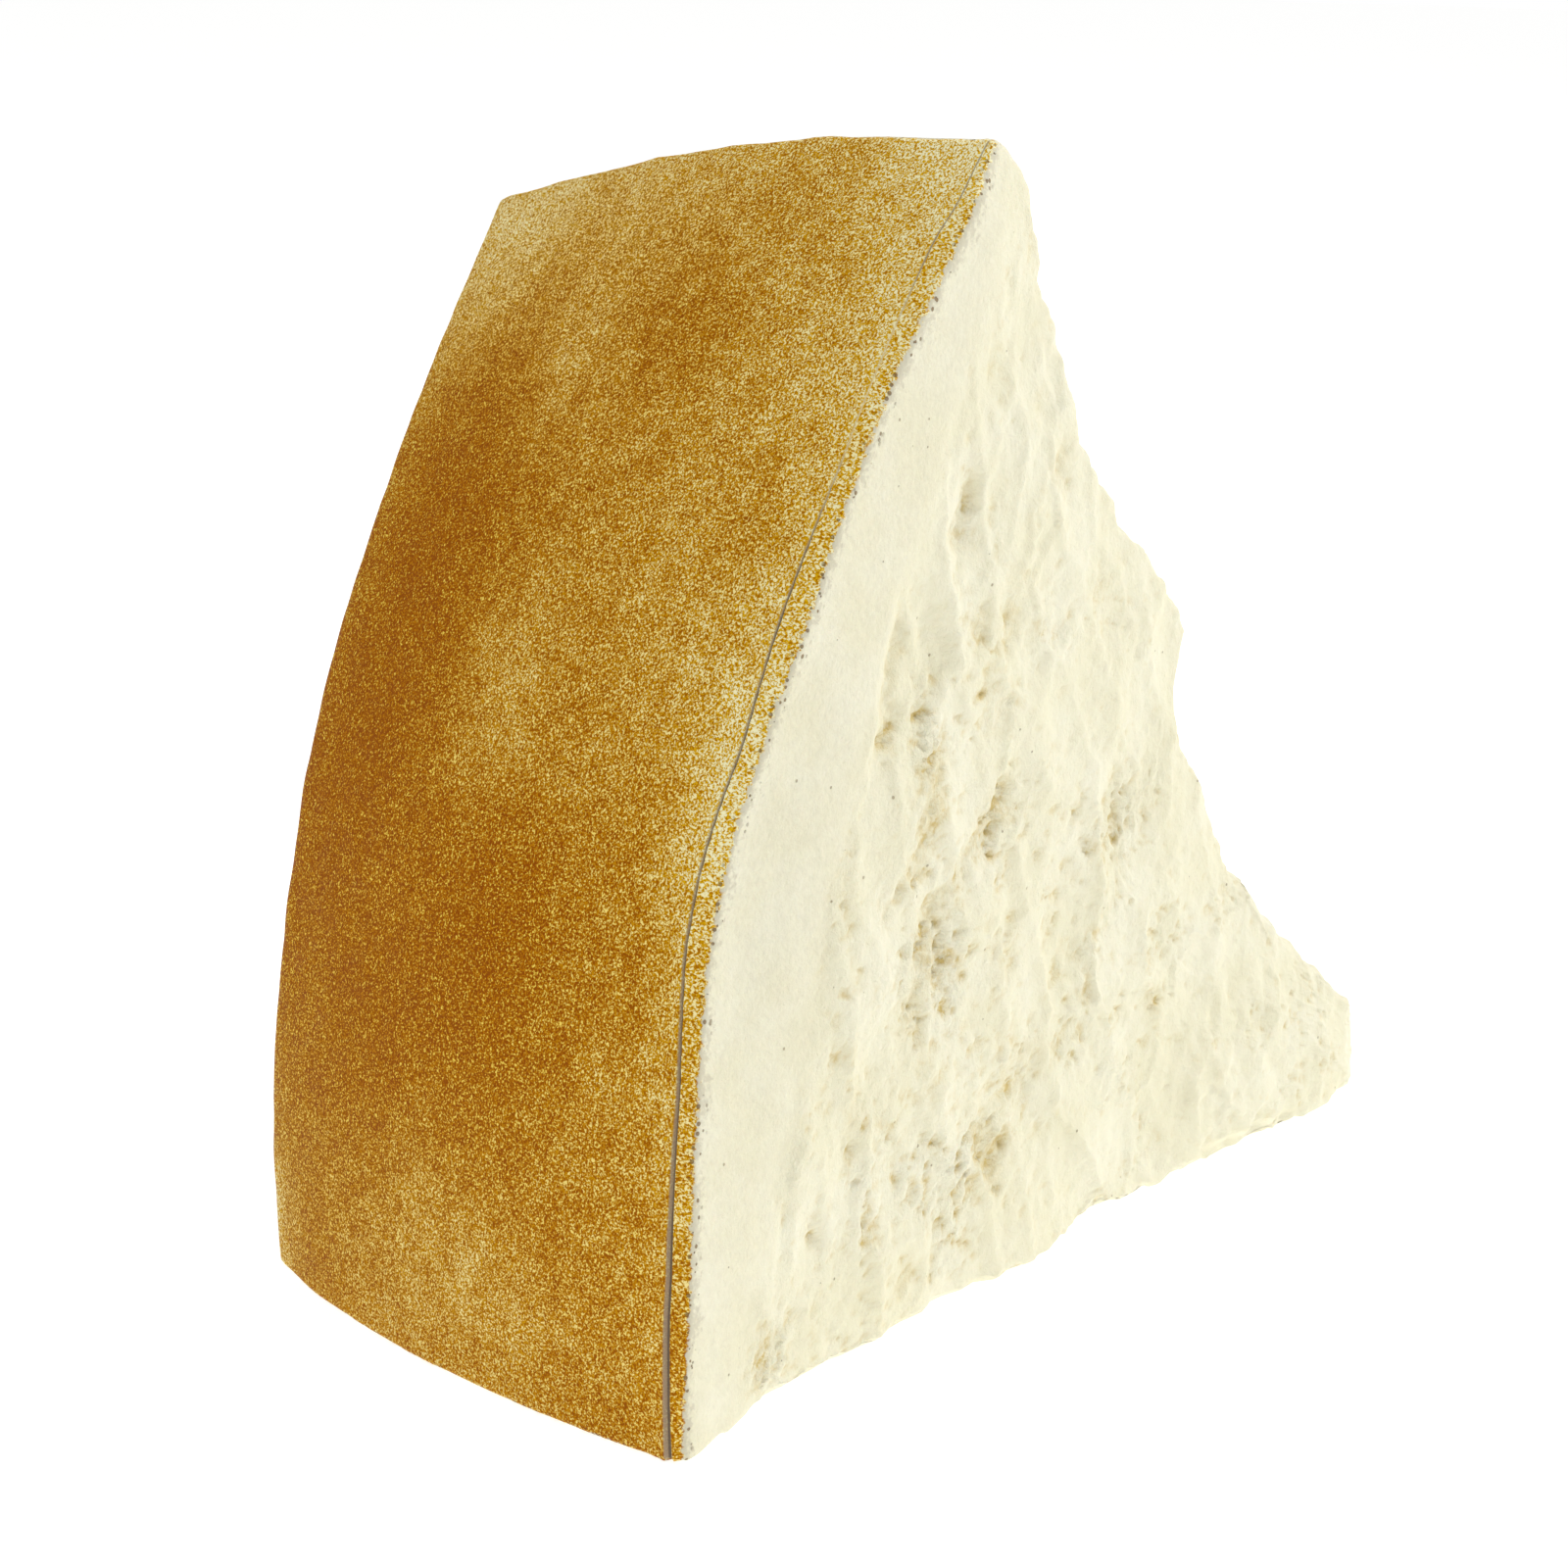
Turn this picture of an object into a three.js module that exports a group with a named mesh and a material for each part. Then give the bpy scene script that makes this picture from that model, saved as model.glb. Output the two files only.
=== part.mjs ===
// A wedge of hard grana-type cheese: one eighth of a turn of the wheel and half its height, split off with
// a cheese knife. It stands on one of its two radial faces. The rind is the dried outside of the same paste,
// so the wedge is one solid: curved rind, broken face, flat plate, two radial faces and a blunt tip.
// x runs from the foot of the rind towards the tip, y from the broken face towards the plate, and z up.
import * as THREE from "three";

// Driving dimensions in millimetres. The wheel's axis is horizontal, level with the foot of the wedge.
const wheelRadius = 220; // at the wheel's mid height, where the broken face is
const halfHeight = 87; // from the broken face to the wheel's flat plate
const shoulderDrop = 19.4; // how much smaller the wheel's radius is at its plate than at mid height
const wedgeAngle = Math.PI / 4; // one eighth of a turn
const tipReach = { front: 175.5, back: 188 }; // the tip's distance from the foot of the rind
const tipHeight = 11;
const tipRagged = 1.7; // how much busier the tip's break is than the rest
const faceLean = 0.027; // the broken face leans out by this much for each millimetre of height
const knifeBand = { smooth: 15, split: 33 }; // the knife cut the first 15 mm; past 33 mm the paste split
const edgeReach = 18; // how far in from the broken face or the plate its shape is felt
const ledgeReach = 65; // how far in from the broken face the upper face's two ledges carry on
const steps = { rise: 21, depth: 26, width: 10 }; // cells from foot to top, tip to rind, face to plate

// The two long edges of the rind, which wander from a true plane: [degrees round the wheel, y].
const faceEdge = [
  [0, 0.3],
  [6, -1],
  [12, 0.4],
  [16.5, 2],
  [21, 1.2],
  [27, -1.6],
  [34, -2.4],
  [42, -4.2],
  [45, -2.2],
];
const plateEdge = [
  [0, 84.5],
  [8, 86.5],
  [20, 87.6],
  [38, 87.6],
  [45, 90],
];
// How far the upper face stands above a straight line from the rind to the tip: [distance from the rind, mm].
const upperEdgeFront = [
  [0, 0],
  [11, 0.3],
  [22, -4],
  [32, -5],
  [39, -8.3],
  [51, -8.2],
  [64, -6.3],
  [80, -2.4],
  [89, -2.6],
  [97, -11.5],
  [101, -13.5],
  [120, -13],
  [133, -14.2],
  [144, -11.5],
  [157, -7.2],
  [170, -2.9],
  [182, 0],
];
const upperEdgeBack = [
  [0, 0],
  [35, 1],
  [60, 4],
  [95, 6.5],
  [130, 3],
  [160, 1],
  [190, 0],
];
// How far the foot of the broken face is lifted off the surface it stands on: [x, z].
const footLift = [
  [0, 0],
  [12, 2],
  [24, 2.6],
  [45, 1.4],
  [66, 1.4],
  [80, 0],
  [97, 2],
  [110, 1.6],
  [122, 0],
  [176, 0],
];
// Where the broken face swells out towards the tip, and its shallow hollows: centre, half sizes and height.
const faceBumps = [
  { x: 150, z: 0, wide: 30, tall: 26, high: 4.5 },
  { x: 70, z: 116, wide: 9, tall: 16, high: -1.6 },
  { x: 47, z: 74, wide: 8, tall: 17, high: -1.5 },
  { x: 92, z: 78, wide: 15, tall: 20, high: -1.4 },
  { x: 62, z: 46, wide: 11, tall: 15, high: -1.6 },
  { x: 78, z: 20, wide: 9, tall: 18, high: -1.8 },
  { x: 128, z: 22, wide: 16, tall: 13, high: -1.0 },
];

const cheese = new THREE.MeshStandardMaterial({ color: 0xf0ebd2, roughness: 0.6, metalness: 0 });

const { lerp, mapLinear, radToDeg, smoothstep } = THREE.MathUtils;
const wheelAxis = new THREE.Vector2(wheelRadius, 0);

// The height at x of the line through the points, held level past its ends.
function along(points, x) {
  const next = points.findIndex((point) => point[0] > x);
  if (next < 0) return points.at(-1)[1];
  if (next === 0) return points[0][1];
  const [x0, y0] = points[next - 1];
  const [x1, y1] = points[next];
  return mapLinear(x, x0, x1, y0, y1);
}

// 1 at distance 0, falling smoothly to 0 at reach.
const fade = (distance, reach) => 1 - smoothstep(distance, 0, reach);

// 0 in the band that the knife cut, 1 where the paste split on its own.
const splitShare = (fromRind) => smoothstep(fromRind, knifeBand.smooth, knifeBand.split);

// Split paste heaves by a millimetre or two: three crossing waves.
function heave(a, b) {
  return (
    0.9 * Math.sin(0.083 * a + 1.1) * Math.cos(0.061 * b + 0.4) +
    0.6 * Math.sin(0.149 * a - 0.107 * b + 2.3) +
    0.4 * Math.cos(0.231 * a + 0.187 * b)
  );
}

// The rind's section at this level of the wheel: barrel-shaped, widest at mid height.
function rindPoint(turn, level) {
  const radius = wheelRadius - shoulderDrop * (level / halfHeight) ** 2;
  return new THREE.Vector2(-Math.cos(turn), Math.sin(turn)).multiplyScalar(radius).add(wheelAxis);
}

// A point of the wedge's section at this level of the wheel, with its distance from the rind:
// rise is 0 at the foot and 1 at the top, and depth is 0 at the tip and 1 at the rind.
function sectionPoint(rise, depth, level) {
  const rind = rindPoint(wedgeAngle * rise, level);
  const reach = lerp(tipReach.front, tipReach.back, level / halfHeight);
  const point = new THREE.Vector2(reach, tipHeight * rise).lerp(rind, depth);
  const fromRind = point.distanceTo(rind);

  // The upper face drops away from the straight line between the top of the rind and the tip.
  const crest = rindPoint(wedgeAngle, level);
  const slope = new THREE.Vector2(reach, tipHeight).sub(crest);
  const outward = new THREE.Vector2(-slope.y, slope.x).normalize();
  const down = slope.length() * (1 - depth);
  const inFromFace = smoothstep(level, 0, ledgeReach);
  const drop = lerp(along(upperEdgeFront, down), along(upperEdgeBack, down), inFromFace);
  const rough = splitShare(fromRind) * inFromFace * heave(down, level);
  point.addScaledVector(outward, rise * drop + rise ** 3 * rough);

  // The tip broke off unevenly.
  point.x += (1 - depth) ** 4 * heave(tipRagged * level, tipRagged * point.y);
  return { point, fromRind };
}

// The broken face's y at x, z: it leans outwards, heaves where the paste split, and carries its bumps.
function brokenFace(x, z, fromRind) {
  const bump = (b) => b.high * Math.exp(-(((x - b.x) / b.wide) ** 2) - ((z - b.z) / b.tall) ** 2);
  const relief = faceBumps.reduce((sum, each) => sum + bump(each), heave(x, z));
  return -faceLean * z - splitShare(fromRind) * relief;
}

// A corner of the wedge: rise and depth as in sectionPoint, width 0 at the broken face and 1 at the plate.
function wedgePoint(rise, depth, width) {
  const level = halfHeight * width;
  const degrees = radToDeg(wedgeAngle * rise);
  const { point, fromRind } = sectionPoint(rise, depth, level);
  const face = lerp(brokenFace(point.x, point.y, fromRind), along(faceEdge, degrees), depth ** 4);
  const plate = depth ** 3 * (along(plateEdge, degrees) - halfHeight);
  const y = level + fade(level, edgeReach) * face + fade(halfHeight - level, edgeReach) * plate;

  // Only the outermost row of the foot lifts, so the rest of it stays flat.
  const lift = rise === 0 && width === 0 ? along(footLift, point.x) : 0;
  return new THREE.Vector3(point.x, y, point.y + lift);
}

// The closed skin of a block of cells. Sides share the corners where they meet.
function wedgeGeometry({ rise, depth, width }) {
  const corners = new Map();
  const positions = [];
  const index = [];
  const corner = (i, j, k) => {
    const key = `${i},${j},${k}`;
    if (!corners.has(key)) {
      corners.set(key, corners.size);
      positions.push(...wedgePoint(i / rise, j / depth, k / width));
    }
    return corners.get(key);
  };
  const side = (across, up, at) => {
    for (let a = 0; a < across; a++) {
      for (let b = 0; b < up; b++) {
        index.push(at(a, b), at(a + 1, b), at(a + 1, b + 1));
        index.push(at(a, b), at(a + 1, b + 1), at(a, b + 1));
      }
    }
  };
  side(depth, rise, (a, b) => corner(b, depth - a, 0)); // broken face
  side(rise, depth, (a, b) => corner(a, depth - b, width)); // plate
  side(width, rise, (a, b) => corner(b, 0, a)); // tip
  side(rise, width, (a, b) => corner(a, depth, b)); // rind
  side(width, depth, (a, b) => corner(0, depth - b, a)); // foot
  side(depth, width, (a, b) => corner(rise, depth - a, b)); // upper face
  const geometry = new THREE.BufferGeometry();
  geometry.setAttribute("position", new THREE.Float32BufferAttribute(positions, 3));
  geometry.setIndex(index);
  return geometry;
}

// Moves the wedge so that the origin is under the middle of its box, on the surface it stands on.
function standOnOrigin(geometry) {
  geometry.computeBoundingBox();
  const { min, max } = geometry.boundingBox;
  geometry.translate(-(min.x + max.x) / 2, -(min.y + max.y) / 2, -min.z);
  geometry.computeVertexNormals();
  return geometry;
}

const wedge = new THREE.Mesh(standOnOrigin(wedgeGeometry(steps)), cheese);
wedge.name = "cheese_wedge";

const part = new THREE.Group();
part.add(wedge);

export default part;
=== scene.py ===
import itertools
import math

import bpy
import numpy as np
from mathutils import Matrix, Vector


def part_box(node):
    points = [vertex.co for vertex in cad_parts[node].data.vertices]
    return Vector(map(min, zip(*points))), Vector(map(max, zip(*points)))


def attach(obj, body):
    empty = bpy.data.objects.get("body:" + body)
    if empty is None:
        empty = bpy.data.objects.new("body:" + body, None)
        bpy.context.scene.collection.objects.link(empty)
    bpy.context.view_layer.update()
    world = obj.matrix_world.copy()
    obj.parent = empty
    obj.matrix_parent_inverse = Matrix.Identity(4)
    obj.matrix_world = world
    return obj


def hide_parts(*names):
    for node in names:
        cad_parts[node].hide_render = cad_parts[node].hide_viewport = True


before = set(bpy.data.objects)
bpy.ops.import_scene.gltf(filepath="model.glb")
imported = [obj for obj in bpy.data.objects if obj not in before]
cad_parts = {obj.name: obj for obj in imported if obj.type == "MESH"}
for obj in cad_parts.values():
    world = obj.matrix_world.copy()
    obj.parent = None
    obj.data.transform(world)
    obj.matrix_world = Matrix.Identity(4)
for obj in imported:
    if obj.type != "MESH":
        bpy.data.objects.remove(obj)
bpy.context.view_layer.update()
node = "cheese_wedge"
mm = 0.001
print("frame loaded")


# The wedge, in millimetres from the foot of the rind's front edge.
wedge = {
    "wheelRadius": 220.0,  # at the broken face, which is the wheel's mid height
    "halfHeight": 87.0,  # from the broken face to the wheel's plate
    "shoulderDrop": 19.4,  # how much smaller the radius is at the plate
    "turn": 45.0,  # degrees round the wheel
    "tipReach": (175.5, 188.0),  # the tip's distance from the rind's foot, at the face and at the plate
    "tipHeight": 11.0,
    "faceLean": 0.027,  # the broken face leans out by this share of its height
    "faceBulge": 5.44,  # how far the face stands out past its own foot, to the front of the CAD box
    # the smooth band that the knife cut: degrees, how wide; and the step where the split paste starts
    "knifeBand": [(0, 9), (5, 14), (12, 18), (22, 19), (28, 15.5), (34, 14.5), (38, 10), (42, 4), (45, 1)],
    "knifeStep": 0.15,
    "edgeReach": 18.0,  # how far in from the face or the plate its shape is felt
    "ledgeReach": 65.0,  # how far in the upper face's ledges carry on
    "grainReach": 3.0,  # how far round an edge the fine relief is felt
    "hiddenCrumb": 0.35,  # how much of the broken face's crumbling the upper face and the tip show
    "ragged": 0.6,  # how far the upper face's broken edge wanders
    "skim": 0.12,  # the knife band's faint waves
    "skin": 0.1,  # the rind's faint waves
    "lips": {"height": 0.1, "fromSeam": 0.75, "width": 0.35},  # raised lips of the scored line
    # the two long edges of the rind: degrees round the wheel, y
    "faceEdge": [
        (0, -0.8), (6, -1), (12, 0.4), (16.5, 2), (21, 1.2), (27, -1.6), (34, -2.4), (42, -4.2), (45, -2.2),
    ],
    "plateEdge": [(0, 84.5), (4, 85.6), (8, 86.5), (20, 87.6), (32, 87.6), (38, 88), (42, 88.8), (45, 90)],
    # the upper face above a straight line from the rind to the tip: distance from the rind, height
    "upperFront": [
        (0, 0), (2.5, 2), (5, 2.9), (8, 2.4), (15, 0), (19, -1), (22, -2.8), (28, -3.2), (36, -5.8),
        (40, -7.4), (51, -7.4), (64, -5.6), (73, -3), (81, -1.3), (87, -0.9), (92, -2.4), (96, -9),
        (100, -12.2), (114, -11.2), (127, -12.2), (133, -12), (144, -9.6), (157, -5.8), (170, -2.8),
        (182, -0.4),
    ],
    "upperBack": [(0, 0), (35, 1), (60, 4), (95, 6.5), (130, 3), (160, 1), (190, 0)],
    # how far the foot of the face is lifted off the floor: x, z
    "footLift": [
        (0, 0), (5, 0), (11, 1.5), (18, 2.6), (31, 2), (45, 1.1), (66, 1), (74, 0.2), (85, 0), (97, 1.5),
        (106, 1.3), (114, 0), (176, 0),
    ],
    # the scored line behind the rind's front edge: degrees, how far behind the edge
    "seamBehind": [
        (0, 2.4), (5, 3.2), (12, 3.0), (19, 4.1), (23, 3.0), (27, 4.0), (33, 2.7), (41, 3.4), (45, 1.0),
    ],
    "seamWidth": [(0, 1.2), (7, 0.95), (14, 0.6), (20, 0.5), (30, 0.34), (34, 0.25), (45, 0.25)],
    "seamDepth": [(0, 0.7), (22, 0.7), (31, 0.4), (34, 0.12), (45, 0.12)],
    # how far the edge between two sides is eased; the face's edge with the rind gets more at the foot
    "easedEdges": [
        ("plate", "rind", 1.8), ("face", "rind", 0.9), ("upper", "rind", 1.5), ("foot", "rind", 1.0),
        ("face", "upper", 1.8), ("plate", "upper", 2.2), ("face", "tip", 2.5), ("plate", "tip", 2.5),
        ("upper", "tip", 2.5), ("foot", "tip", 2.0), ("face", "foot", 1.2), ("plate", "foot", 2.0),
    ],
    "footCorner": 1.5,
    # grid lines: start, end, cells
    "riseLines": [(0, 0.02, 5), (0.02, 0.98, 224), (0.98, 1, 5)],
    "depthLines": [(0, 0.975, 246), (0.975, 1, 9)],
    "levelLines": [(0, 2.0, 5), (2.0, 4.9, 18), (4.9, 12, 7), (12, 81, 24), (81, 87, 5)],
    # how many cells each plain side merges into one, each way
    "merge": {"plate": (5, 5), "tip": (1, 16), "foot": (2, 5)},
}

# Swells and hollows of the broken face: x, z, half sizes, lean, how far it stands out, tan tint (partly the
# paste's own tan, partly painted shade in the hollows).
faceShapes = [
    (150, 0, 30, 26, 0, 4.5, 0), (138, -1, 18, 5, 0, -1.6, 0), (37, 90, 1.3, 13, 0.1, 1.1, 0),
    (42, 91, 3.2, 10, 0.1, -1.5, 0.5), (41, 83, 2.6, 2.4, 0, -0.4, 0.8), (50, 89, 3.6, 8, 0.1, -0.8, 0.1),
    (69, 93, 2.2, 3, 0.3, -0.35, 0.6), (61, 95, 2.3, 2.6, 0.3, -0.35, 0.5),
    (63, 86, 1.7, 1.5, 0, -0.4, 0.7), (68, 81, 3.4, 3.6, 0, -0.4, 0.3),
    (53, 75, 2.6, 4, -0.2, -0.5, 0.7), (51, 70, 2.2, 3.8, 0.3, -0.5, 0.8),
    (48, 65, 2.2, 2.6, 0.3, -0.4, 0.5), (67, 67, 3.2, 5.2, 0.5, -0.75, 0.8),
    (60, 62, 2.8, 4, 0.5, -0.55, 0.4), (55, 57, 2.2, 3.2, 0.3, -0.55, 0.4),
    (54, 51, 3.6, 6, -0.3, -0.8, 0.8), (49, 44, 2.2, 4.4, 0.1, -0.55, 0.7), (66, 55, 5, 6, 0.2, 0.7, 0),
    (92, 58, 1.4, 1.5, 0, -0.3, 0.9), (98, 88, 5, 6, 0, -0.7, 0.1), (91, 92, 1.4, 4.2, 0.3, -0.4, 0.6),
    (102, 55, 3.2, 5, 0, -0.5, 0.1), (85, 50, 2.4, 5.6, 0.2, -0.4, 0.3),
    (111, 30, 2.4, 3, -0.3, -0.5, 0.6), (70, 19, 2.8, 4.6, -0.3, -0.9, 1),
    (76, 29, 5, 5, 0.2, -0.5, 0.4), (58, 109, 2.6, 5.6, 0.1, -0.95, 0.4),
    (80, 112, 2.4, 4, -0.3, -0.7, 0.4), (65, 137, 1.4, 4.4, -0.3, -0.5, 0.1),
    (73, 139, 2.2, 3.2, 0, -0.5, 0.1), (28, 22, 2.5, 3, 0, -0.4, 0.3), (49, 9, 2.2, 3, 0.2, -0.4, 0.5),
    (18, 8, 3, 3, 0, -0.4, 0.3), (41, 17, 2.6, 3, 0.2, -0.4, 0.4), (78, 125, 2.6, 9, 0.4, -0.6, 0),
    (27, 56, 2.8, 5, 0.1, -0.35, 0.3), (33, 66, 2, 3.2, 0, -0.3, 0.3), (71, 47, 3.4, 4.4, 0.2, -0.4, 0.4),
    (21, 42, 1.6, 2.6, 0, -0.35, 0.5), (42, 61, 1.8, 3, 0.2, -0.35, 0.4), (100, 61, 3, 4, 0.2, -0.35, 0.2),
    (145, 31, 2, 2.4, 0, -0.35, 0.2), (88, 64, 1.2, 1.8, 0.3, -0.35, 0.5),
    (36, 34, 2.4, 4, 0.1, -0.35, 0.3), (66, 123, 1.2, 8, 0.3, 0.5, 0), (54, 118, 2.6, 9, 0.2, -0.5, 0),
    (74, 104, 1.2, 7, 0.4, 0.5, 0),
]

# Patches where the paste has crumbled: x, z, half sizes, how much.
crumbPatches = [
    (62, 88, 12, 13, 0.6), (50, 70, 8, 12, 0.5), (60, 56, 14, 12, 0.5), (30, 55, 8, 12, 0.5),
    (50, 42, 13, 10, 0.5), (73, 24, 13, 13, 0.7), (35, 14, 26, 13, 0.5), (98, 88, 9, 8, 0.35),
    (98, 55, 16, 16, 0.4), (112, 28, 10, 8, 0.4), (146, 30, 8, 6, 0.25), (24, 38, 8, 12, 0.4),
]

# Soft patches of colour on the rind: degrees round the wheel, level, half sizes, how much lighter.
rindPatches = [
    (23, 2, 13, 9, 0.55), (22, 0, 40, 5, 0.1), (46, 40, 4.5, 60, 0.3), (45, 3, 7, 11, 0.6),
    (0, 40, 7, 70, 0.05), (2, 88, 6, 7, 0.5), (42, 78, 7, 16, 0.3), (24, 46, 4, 9, 0.2),
    (37, 52, 3, 7, 0.18), (20, 72, 12, 17, -0.45), (15, 36, 5, 10, -0.35), (31, 72, 6, 14, -0.22),
    (12, 54, 5, 12, -0.2), (37, 33, 4, 10, -0.15), (33, 20, 8, 10, 0.1), (4, 24, 5, 26, 0.06),
    (8, 30, 3, 16, -0.1),
]


def along(points, x):  # height of the line through the points, its corners softened by a short average
    xs, ys = np.array(points, float).T
    reach = 0.012 * (xs[-1] - xs[0])
    return sum(np.interp(x + shift * reach, xs, ys) for shift in (-1, -0.5, 0, 0.5, 1)) / 5


def smooth(x, low, high):  # 0 below low, 1 above high, with an S between
    t = np.clip((x - low) / (high - low), 0, 1)
    return t * t * (3 - 2 * t)


def scatter(cells, seed):
    # A number from 0 to 1 for each whole-numbered cell: its coordinates times primes, mixed.
    key = seed * 2654435761 & 0xFFFFFFFF
    for cell, prime in zip(cells, (73856093, 19349663, 83492791)):
        key = (key ^ (cell.astype(np.int64) * prime)) & 0xFFFFFFFF
        key = ((key ^ (key >> 15)) * 2246822519) & 0xFFFFFFFF
        key = ((key ^ (key >> 13)) * 3266489917) & 0xFFFFFFFF
    return (key ^ (key >> 16)) / 4294967296


def waves(points, seed):  # value noise: a number from -1 to 1 at each cell corner, blended smoothly between
    corner = np.floor(points)
    part = points - corner
    part = part**3 * (part * (part * 6 - 15) + 10)
    total = 0
    for step in itertools.product((0, 1), repeat=3):
        weight = np.prod([p if s else 1 - p for s, p in zip(step, part)], axis=0)
        total = total + weight * scatter([c + s for c, s in zip(corner, step)], seed)
    return total * 2 - 1


def crumple(points, octaves, seed):  # waves at several sizes, each half as big and half as wide as the last
    total = 0
    for octave in range(octaves):
        total = total + waves(points * 2**octave, seed + octave) / 2**octave
    return total


def dots(u, v, seed):  # distance to the nearest dot of a jittered grid, and that dot's own number
    cellU, cellV = np.floor(u), np.floor(v)
    nearest, number = np.full(u.shape, 9.0), np.zeros(u.shape)
    for stepU, stepV in itertools.product((-1, 0, 1), repeat=2):
        cell = (cellU + stepU, cellV + stepV)
        dotU = cell[0] + 0.15 + 0.7 * scatter(cell, seed)
        dotV = cell[1] + 0.15 + 0.7 * scatter(cell, seed + 1)
        distance = np.hypot(u - dotU, v - dotV)
        number = np.where(distance < nearest, scatter(cell, seed + 2), number)
        nearest = np.minimum(nearest, distance)
    return nearest, number


def pits(u, v, share, seed):  # round-bottomed pits from 0 to 1 deep, in this share of the cells
    nearest, number = dots(u, v, seed)
    size = number / share
    bowl = np.clip(1 - (nearest / (0.22 + 0.3 * size)) ** 2, 0, 1)
    return np.where(number < share, bowl, 0) * (0.4 + 0.6 * size)


def heave(a, b):  # three crossing waves of a millimetre or so
    return (
        0.9 * np.sin(0.083 * a + 1.1) * np.cos(0.061 * b + 0.4)
        + 0.6 * np.sin(0.149 * a - 0.107 * b + 2.3)
        + 0.4 * np.cos(0.231 * a + 0.187 * b)
    )


def rindLine(turn, level):  # the rind's section: a circle whose radius falls with the square of the level
    radius = wedge["wheelRadius"] - wedge["shoulderDrop"] * (level / wedge["halfHeight"]) ** 2
    return wedge["wheelRadius"] - radius * np.cos(turn), radius * np.sin(turn)


def splitPaste(u, v, seed):  # scoops that meet in ridges, with crumbling patches of lumps and pits between
    points = np.array([u, v, 0 * u + seed])
    lean = u + 0.25 * v + 3 * waves(points / 13, seed)
    scoop, number = dots(lean / 9, v / 17, seed + 3)
    small, smallNumber = dots((u - 0.2 * v) / 3.6 + 0.8 * waves(points / 4, seed + 4), v / 5.5, seed + 9)
    coarse = 1.7 * scoop**2 + 0.4 * number + 0.42 * small**2 + 0.15 * smallNumber - 0.9 + 0.5 * heave(u, v)
    warpU = u + 1.1 * waves(points / 2.3, seed + 5) + 0.5 * waves(points / 0.9, seed + 12)
    warpV = v + 1.1 * waves(points / 2.7, seed + 6) + 0.5 * waves(points / 0.9, seed + 13)
    crumbling = smooth(crumple(points / 10, 2, seed + 7), -0.1, 0.85)
    hole = np.maximum(
        0.7 * pits(warpU / 2.8, warpV / 3.6, 0.3, seed + 8),
        pits(warpU / 1.5, warpV / 1.9, 0.55, seed + 11),
    )
    lumps = crumple(points / 1.8, 2, seed + 14)
    streaks = waves(np.array([(u + 0.15 * v) / 1.5, v / 7, 0 * u]), seed + 15)
    return coarse + 0.06 * streaks, lumps, hole, crumbling


def crumble(lumps, hole, crumbling):  # fine relief and tan tint of split paste, by how much it has crumbled; the tint grows with the depth of the relief, so part of it is painted shade in pits and hollows
    relief = lumps * (0.1 + 0.3 * crumbling) - hole * (0.12 + 0.62 * crumbling)
    return relief, np.clip(-2.4 * relief - 0.2, 0, 1)


def patched(patches, a, b):  # total of soft patches, each a bell in both directions
    total = 0
    for centreA, centreB, halfA, halfB, amount in patches:
        total = total + amount * np.exp(-(((a - centreA) / halfA) ** 2) - ((b - centreB) / halfB) ** 2)
    return total


def brokenFace(x, z):  # relief of the face: listed swells and hollows over split paste
    coarse, lumps, hole, crumbling = splitPaste(x, z, 20)
    points = np.array([x, z, 0 * x])
    warpX = x + 1.6 * waves(points / 3.7, 61) + 0.9 * waves(points / 1.5, 63)
    warpZ = z + 1.8 * waves(points / 3.7, 62) + 1.0 * waves(points / 1.5, 64)
    placed, tint = 0, 0
    for shapeX, shapeZ, wide, tall, lean, high, tan in faceShapes:
        sideways = (warpX - shapeX - lean * (warpZ - shapeZ)) / wide
        upwards = (warpZ - shapeZ) / tall
        mound = np.exp(-((sideways**2 + upwards**2) ** 1.6))
        placed = placed + high * mound
        # the tan column tints the hollows: partly the paste's own tan, partly painted shade
        tint = tint + tan * mound
    inHollow = np.clip(tint * 1.5, 0, 1)
    calm = 1 - 0.75 * smooth(z + 0.5 * x, 95, 120)
    spread = patched(crumbPatches, x, z) * (0.5 + crumbling)
    crumbling = np.clip(crumbling * 0.35 * calm + 0.5 * inHollow + spread, 0, 1)
    fine, tan = crumble(lumps, hole, crumbling)
    return placed + coarse, fine, np.clip(tan + 0.55 * tint, 0, 1), 0.12 + 0.88 * crumbling


def roundEdge(point, radius, first, second):  # eases an edge in along both its sides' normals
    (distanceA, normalA), (distanceB, normalB) = first, second
    near = np.clip(1 - distanceA / radius, 0, 1) ** 2 * np.clip(1 - distanceB / radius, 0, 1) ** 2
    return point - (1 - math.sqrt(0.5)) * radius * near * (normalA + normalB)


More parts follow.
